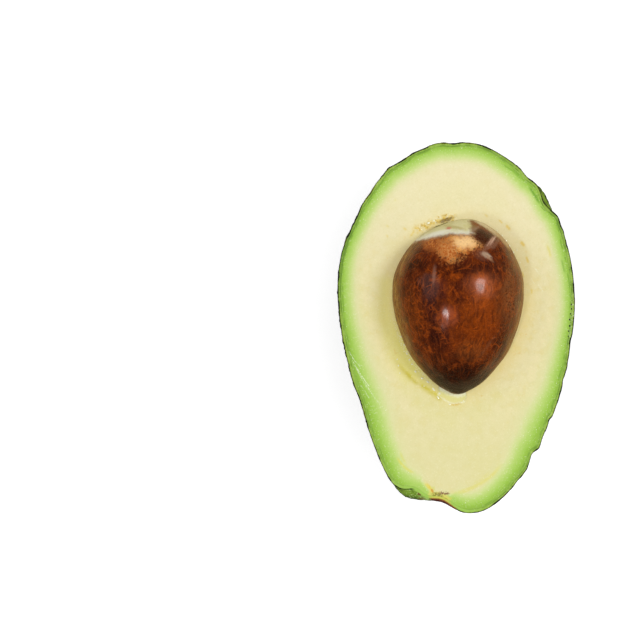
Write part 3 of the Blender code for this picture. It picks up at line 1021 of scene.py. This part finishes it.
def seedFinish():
    material, place = startMaterial("seedCoat")
    wrapped = place.read("wrapped", "Vector")
    inside = place.read("inside")
    aboveCap = place.read("aboveCap")
    patches = place.grain(2.6, 3, 0.55)
    fine = place.grain(0.55, 3, 0.6)
    streak = wrapped.stretched(1, 1, 0.22).grain(1.5, 4, 0.6)
    ragged = (patches - 0.5) * 1.5 + (streak - 0.5) * 0.8

    # the body, softly mottled, with darker and more orange regions and painted highlight and sheen patches
    tone = streak * 0.35 + patches * 0.4 + fine * 0.25
    colour = tone.ramp([
        (0.34, (40, 10, 4)), (0.43, (66, 20, 4)), (0.51, (90, 32, 3)),
        (0.6, (116, 48, 4)), (0.7, (144, 68, 10)),
    ])
    colour = colour.dabbed(place, seed["tonesAndHighlights"], ragged, 0.6)

    # winding fibres in a loose net, mostly lengthwise, light over dark
    weak = place.grain(4, 2).step(0.48, 0.66)
    darkNet = wrapped.bent(3, 0.7).stretched(1, 1, 0.25).net(1.3, 0.18)
    fibreMask = wrapped.bent(5.5, 1.2).stretched(1, 1, 0.1).net(1.3, 0.08) * weak * 0.8
    colour = colour.tint((40, 10, 5), darkNet * patches.step(0.6, 0.42) * 0.4)
    for turn, size in ((34, 2.1), (-30, 1.9), (68, 2.8)):
        crossing = place.turned(turn).bent(6.5, 1.8).stretched(1, 0.1, 1).net(size, 0.05)
        crossing = crossing * place.turned(turn).grain(3.5, 2).step(0.5, 0.62)
        fibreMask = fibreMask.larger(crossing)
    hairs = wrapped.bent(3, 0.6).stretched(1, 1, 0.08).grain(0.5, 2, 0.6)
    grit = place.grain(0.3, 2, 0.7)
    lengthwise = place.part(1) / mm
    # painted sheen: a tan haze along the right flank, standing for reflection at the grazing edge
    sheenPatch = place.patch((13.6, 9.6), (2, 8.5), -4, ragged + (fine - 0.5) * 1.5, 0.7)
    colour = colour.tint(
        (186, 82, 4), fibreMask * (0.08 + fine * 0.5),
        (150, 70, 16), hairs.step(0.54, 0.66) * 0.18,
        (46, 12, 6), hairs.step(0.46, 0.34) * 0.2,
        (44, 12, 6), grit.step(0.46, 0.34) * 0.35,
        (160, 84, 26), grit.step(0.56, 0.68) * 0.25,
        (28, 6, 3), (lengthwise + ragged * 2.8).step(-4.5, -16.5) * 0.86,
        (146, 92, 48), sheenPatch * fine.step(0.3, 0.6) * 0.45,
        (110, 74, 50), place.patch((8.6, -3.6), (0.5, 3.4), -38, ragged, 0.8) * streak.step(0.4, 0.6) * 0.6,
    )

    # a thin tan film left along the rim of the seed
    filmStreak = wrapped.bent(2, 0.5).stretched(1, 1, 0.22).grain(0.7, 4, 0.7)
    filmWidth = 0.35 + lengthwise.step(-15, 0) * 1.7
    film = ((inside + (patches - 0.5) * 2.4 + (filmStreak - 0.5) * 2.4) / filmWidth).step(1.35, 0.1)
    filmColour = filmStreak.ramp([
        (0.3, (92, 52, 16)), (0.45, (128, 84, 30)), (0.58, (160, 116, 50)), (0.74, (196, 156, 84)),
    ])
    colour = colour.tint(filmColour, film * (0.5 + filmStreak.step(0.34, 0.66) * 0.45))

    # the fuzzy tan patch at the blunt end, with its dark neighbour
    tuft = place.bent(1.2, 0.3).stretched(1, 0.6, 1).grain(0.55, 5, 0.75)
    rag = (tuft - 0.5) * 3.4 + (patches - 0.5) * 1.1
    fuzzy = place.patch((0.6, 22.1), (5.2, 2.7), 0, rag, 0.35)
    fuzzy = fuzzy.larger(place.patch((-2.6, 20.2), (3, 3), 20, rag, 0.35) * 0.95)
    leftPart = place.patch((-6, 22), (3.4, 2.2), -16, rag, 0.4)
    tan = tuft.ramp([
        (0.3, (112, 46, 12)), (0.42, (182, 102, 40)), (0.54, (226, 164, 88)), (0.7, (252, 216, 150)),
    ])
    tan = tan.tint(
        (160, 78, 26), patches.step(0.5, 0.62) * 0.6,
        (168, 84, 30), place.patch((-3.6, 20.4), (2.4, 3), 10, ragged, 0.6) * 0.6,
        (252, 218, 158), place.patch((1.6, 22.6), (2.8, 1.4), 0, rag, 0.6) * 0.6,
    )
    brown = tuft.ramp([(0.36, (104, 44, 14)), (0.5, (168, 88, 30)), (0.64, (226, 152, 78))])
    colour = colour.tint(
        (84, 30, 10), place.patch((-1.3, 21.2), (8.8, 4.6), 0, ragged, 0.3) * 0.6,
        brown, leftPart * 0.9,
        tan, fuzzy,
        (64, 26, 10), place.patch((6.6, 24.2), (3.3, 2), -25, ragged, 0.4) * 0.9,
    )

    # the cream cap, its lower edge whitish and torn, olive and brown strokes in it
    capEdge = aboveCap + (tuft - 0.5) * 0.8 + (patches - 0.5) * 1.9
    capColour = capEdge.ramp([
        (0, (186, 164, 132)), (0.35, (216, 206, 180)), (0.7, (222, 216, 184)), (1, (212, 204, 152)),
    ])
    capColour = capColour.tint(
        (232, 230, 212), place.patch((-6.2, 24.8), (3.6, 0.7), 16, ragged * 0.5, 0.4) * 0.7,
        (164, 144, 70), place.patch((-0.6, 26.6), (3, 0.5), -14, ragged * 0.9, 0.6) * 0.5,
        (196, 188, 120), patches.step(0.5, 0.64) * 0.45,
        (160, 112, 58), fine.step(0.6, 0.72) * patches.step(0.44, 0.6) * 0.6,
        (228, 224, 206), (capEdge - 0.9).size().step(1.1, 0.2) * patches.step(0.36, 0.5) * 0.5,
        (120, 74, 28), place.patch((4.6, 27), (1.7, 1.8), 0, ragged * 1.4, 0.5) * 0.85,
    )
    colour = colour.tint(capColour, capEdge.step(-0.8, 0.9) * 0.96)
    colour = colour.dabbed(place, seed["marks"], ragged * 0.7 + (fine - 0.5) * 1.6, 0.7)

    wrinkle = place.grain(0.7, 3, 0.6)
    dull = inside.step(4.5, 0.5)
    cap = capEdge.step(-0.3, 0.35)
    coat = (0.38 - fuzzy * 0.3 - cap * 0.2) * (1 - dull * 0.95)
    roughness = 0.3 + (fine - 0.5) * 0.2 + fuzzy * 0.3 + cap * 0.1 + dull * 0.1
    height = wrinkle * 1.1 + grit * 1 + streak * 0.3 + fibreMask * 0.2 + fuzzy * tuft * 1.5
    finishMaterial(place, colour, roughness, height, 0.1, {
        "Specular IOR Level": 0.14, "Specular Tint": (1, 0.45, 0.3, 1),
        "Coat Weight": coat, "Coat Roughness": 0.15,
    })
    return material


# small wet and dry details on the cut

details = {
    # places seen from above, size along and across, turn
    "beads": [
        (-15.9, -8.5, 0.22, 0.18, 60), (-15.6, -10.2, 0.24, 0.18, 70),
        (-15.2, -12.2, 0.2, 0.16, 60), (-14.1, -4.6, 0.26, 0.16, 80), (-13.3, -7, 0.24, 0.16, -60),
        (-12.6, -8.6, 0.3, 0.2, -55), (-12, -9.8, 0.24, 0.18, -55), (-11, -11.8, 0.34, 0.24, -50),
        (-9.2, -13.6, 0.3, 0.24, -30), (-7.7, -14.6, 0.42, 0.22, -30),
        (-6.1, -16.6, 0.62, 0.22, -52), (-4.5, -17.7, 0.36, 0.24, -40),
        (-4.9, -18.8, 0.55, 0.2, -55), (-1.8, -20.6, 0.3, 0.18, 0), (1.4, -20.1, 0.24, 0.16, 20),
        (-14.9, -2.4, 0.24, 0.14, 80), (-8.7, -15.7, 0.2, 0.14, 0), (1.9, -19.7, 0.22, 0.15, 80),
        (13.4, 23.4, 0.24, 0.14, -50), (14.3, 22.1, 0.24, 0.14, -55),
        (15.4, 20.4, 0.26, 0.14, -60), (16.3, 20.9, 0.2, 0.12, -60), (12.3, 24.9, 0.2, 0.12, -45),
        (-7.5, 28.2, 0.42, 0.3, 20), (-6.1, 28.9, 0.36, 0.26, 0), (-9.4, 26.5, 0.28, 0.2, 40),
        (17.1, 17.6, 0.2, 0.12, -75), (11, 26.2, 0.2, 0.12, -40),
    ],
    "dots": [
        (30.96, 6.28, 0.25, 0.17, 80), (31, 5.1, 0.25, 0.18, 80), (30.72, 3.75, 0.22, 0.16, 80),
        (30.47, 2.2, 0.27, 0.19, 80), (30.45, 0.5, 0.25, 0.19, 80), (30.2, -0.9, 0.22, 0.17, 80),
        (30.1, -2.3, 0.18, 0.14, 80),
    ],
    "grains": 650,
    "grainSize": 0.08,
    "shreds": 22,
    "shredLength": 0.35,
    "shredWidth": 0.13,
    # square metres of the cut and of the torn place
    "cutArea": 0.0046,
    "tornArea": 0.00004,
    "seed": 11,
}


def beadTree(name, facets):
    # a small rounded bead at each point, as long, wide and turned as the point says
    tree, start = startTree(name, ("Flatness",))
    points = start.node("GeometryNodeMeshToPoints", {}, {"Mesh": start.other("Geometry")})
    long, wide, turn = (start.named(each) for each in ("long", "wide", "turn"))
    size = start.joined(long, wide, wide * start.other("Flatness"))
    finishTree(start, ballsOn(start, points, facets, start.joined(0, 0, turn), size))
    return tree


def scatterTree(name, mask, shape):
    # many small pieces strewn over a face where its mask is high
    tree, start = startTree(name, ("Density", "Length", "Width"), True)

    def drawn(low, high):
        sockets = {2: low, 3: high, "Seed": start.other("Seed")}
        return start.node("FunctionNodeRandomValue", {"data_type": "FLOAT"}, sockets, 1)

    points = start.node("GeometryNodeDistributePointsOnFaces", {"distribute_method": "RANDOM"}, {
        "Mesh": start.other("Geometry"), "Density": start.named(mask) * start.other("Density"),
        "Seed": start.other("Seed"),
    })
    sides, turn, tip = drawn(0.5, 1.5), drawn(0, 6.28), drawn(-0.35, 0.35)
    length, width = start.other("Length") * sides, start.other("Width")
    if shape == "shred":
        size = start.joined(length, width, width)
    else:
        size = start.joined(length, width * sides, width * sides * 0.6)
    facets = 2 if shape == "shred" else 1
    finishTree(start, ballsOn(start, points, facets, start.joined(0, tip, turn), size))
    return tree


def makeBeads(name, places, tree, finish, ground, flatness):
    # points at the listed places, resting on the ground piece
    spots = pointsOf(ground)
    upper = spots[spots[:, 2] > fruit["cutHeight"] - 2]
    x, y, long, wide, turn = np.array(places).T
    nearest = [np.argmin((upper[:, 0] - a) ** 2 + (upper[:, 1] - b) ** 2) for a, b in zip(x, y)]
    mesh = bpy.data.meshes.new(name)
    mesh.from_pydata((np.stack([x, y, upper[nearest, 2]], 1) * mm).tolist(), [], [])
    piece = newPiece(name, mesh)
    note(piece, long=long * mm, wide=wide * mm, turn=np.radians(turn))
    growNodes(piece, tree, {"Flatness": flatness, "Finish": finish})
    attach(piece, "root")
    return piece


def strew(name, ground, tree, values):
    piece = newPiece(name, ground.data.copy())
    growNodes(piece, tree, {**values, "Seed": details["seed"]})
    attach(piece, "root")
    return piece


def plainFinish(name, dark, light, roughness, grainSize, coat, coatRoughness=0.03):
    material, place = startMaterial(name)
    grain = place.grain(grainSize, 3, 0.6)
    colour = grain.ramp([(0.35, dark), (0.65, light)])
    fixed = {"Coat Weight": coat, "Coat Roughness": coatRoughness}
    finishMaterial(place, colour, roughness + (grain - 0.5) * 0.2, grain, 0.03, fixed)
    return material


# studio

studio = {
    "frameMiddle": (-36.72, 2.09),
    "frameWidth": 172.3,
    "cameraAbove": 600,
    "sensor": 36,
    # direction towards it, size in metres, power in watts
    "lights": {
        "keyLight": ((0.6, 0.15, 0.78), 0.3, 2.75),
        "topLight": ((-0.39, -0.42, 0.82), 0.1, 0.95),
        "sideLight": ((-0.81, 0.17, 0.56), 0.6, 0.8),
    },
    "surroundings": 0.74,
    "floorGlow": 0.42,
    "lightDistance": 0.9,
    "floorReach": 3,
}


def makeCamera():
    camera = bpy.data.cameras.new("camera")
    camera.sensor_width = studio["sensor"]
    camera.lens = studio["sensor"] * studio["cameraAbove"] / studio["frameWidth"]
    camera.clip_start = 0.01
    camera.clip_end = 20
    holder = newPiece("camera", camera)
    x, y = studio["frameMiddle"]
    holder.location = (x * mm, y * mm, (fruit["cutHeight"] + studio["cameraAbove"]) * mm)
    bpy.context.scene.camera = holder


def makeLight(name, direction, size, power):
    lamp = bpy.data.lights.new(name, "AREA")
    lamp.shape = "DISK"
    lamp.size = size
    lamp.energy = power
    holder = newPiece(name, lamp)
    toward = Vector(direction).normalized()
    holder.location = Vector((0, 0, fruit["cutHeight"] * mm)) + toward * studio["lightDistance"]
    holder.rotation_euler = toward.to_track_quat("Z", "Y").to_euler()


def makeStudio():
    scene = bpy.context.scene
    scene.view_settings.view_transform = "Standard"
    world = bpy.data.worlds.new("studio")
    scene.world = world
    world.use_nodes = True
    background = world.node_tree.nodes["Background"].inputs
    background["Color"].default_value = (1, 1, 1, 1)
    background["Strength"].default_value = studio["surroundings"]
    world.cycles_visibility.glossy = False
    for name, (direction, size, power) in studio["lights"].items():
        makeLight(name, direction, size, power)
    mesh = bpy.data.meshes.new("floor")
    far = studio["floorReach"]
    mesh.from_pydata([(-far, -far, 0), (far, -far, 0), (far, far, 0), (-far, far, 0)], [], [(0, 1, 2, 3)])
    floor = newPiece("floor", mesh)
    floor.visible_glossy = False
    material, place = startMaterial("paleFloor")
    shade(place, {
        "Base Color": (0.9, 0.9, 0.9, 1), "Roughness": 0.7,
        "Emission Color": (1, 1, 1, 1), "Emission Strength": studio["floorGlow"],
    })
    mesh.materials.append(material)


makeCamera()
makeStudio()
print("studio ready")

rindPiece = makeRind()
growNodes(rindPiece, pebbleTree(), {
    "Pitch": rind["pebblePitch"] * mm, "Height": rind["pebbleHeight"] * mm,
    "Lump Pitch": rind["lumpPitch"] * mm, "Lump Height": rind["lumpHeight"] * mm,
    "Seed": rind["seed"], "Finish": rindFinish(),
})
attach(rindPiece, "root")
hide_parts("skin")
print("rind grown", len(rindPiece.data.polygons))

fleshPiece = makePulp()
fleshPiece.data.materials.append(fleshFinish())
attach(fleshPiece, "root")
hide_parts("flesh")
print("flesh made", len(fleshPiece.data.polygons))

seedPiece = makeSeed()
seedPiece.data.materials.append(seedFinish())
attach(seedPiece, "root")
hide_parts("pit")
print("seed made", len(seedPiece.data.polygons))

# near-white beads: real wet droplets, coloured white as painted glints
glintBeadFinish = plainFinish("wetGlintBeads", (236, 232, 190), (250, 250, 228), 0.12, 0.3, 0.8, 0.05)
# pale grains: tiny wet droplets, coloured near white as painted glints
glintGrainFinish = plainFinish("paleGlintGrains", (222, 232, 176), (246, 250, 226), 0.3, 0.3, 0.3, 0.1)
dotFinish = plainFinish("corkDots", (20, 18, 10), (46, 40, 22), 0.6, 0.2, 0)
shredFinish = plainFinish("tornPulp", (208, 172, 76), (234, 208, 116), 0.35, 0.5, 0.3, 0.15)

beads = beadTree("roundBeads", 3)
beadPiece = makeBeads("wetGlintBeads", details["beads"], beads, glintBeadFinish, fleshPiece, 0.5)
dotPiece = makeBeads("corkDots", details["dots"], beads, dotFinish, rindPiece, 0.4)
grainPiece = strew("paleGlintGrains", fleshPiece, scatterTree("strewnGrains", "speckled", "grain"), {
    "Density": details["grains"] / details["cutArea"], "Finish": glintGrainFinish,
    "Length": details["grainSize"] * mm, "Width": details["grainSize"] * mm,
})
shredPiece = strew("tornShreds", fleshPiece, scatterTree("strewnShreds", "torn", "shred"), {
    "Density": details["shreds"] / details["tornArea"], "Finish": shredFinish,
    "Length": details["shredLength"] * mm, "Width": details["shredWidth"] * mm,
})
print("details strewn", len(beadPiece.data.polygons), len(grainPiece.data.polygons),
    len(shredPiece.data.polygons))
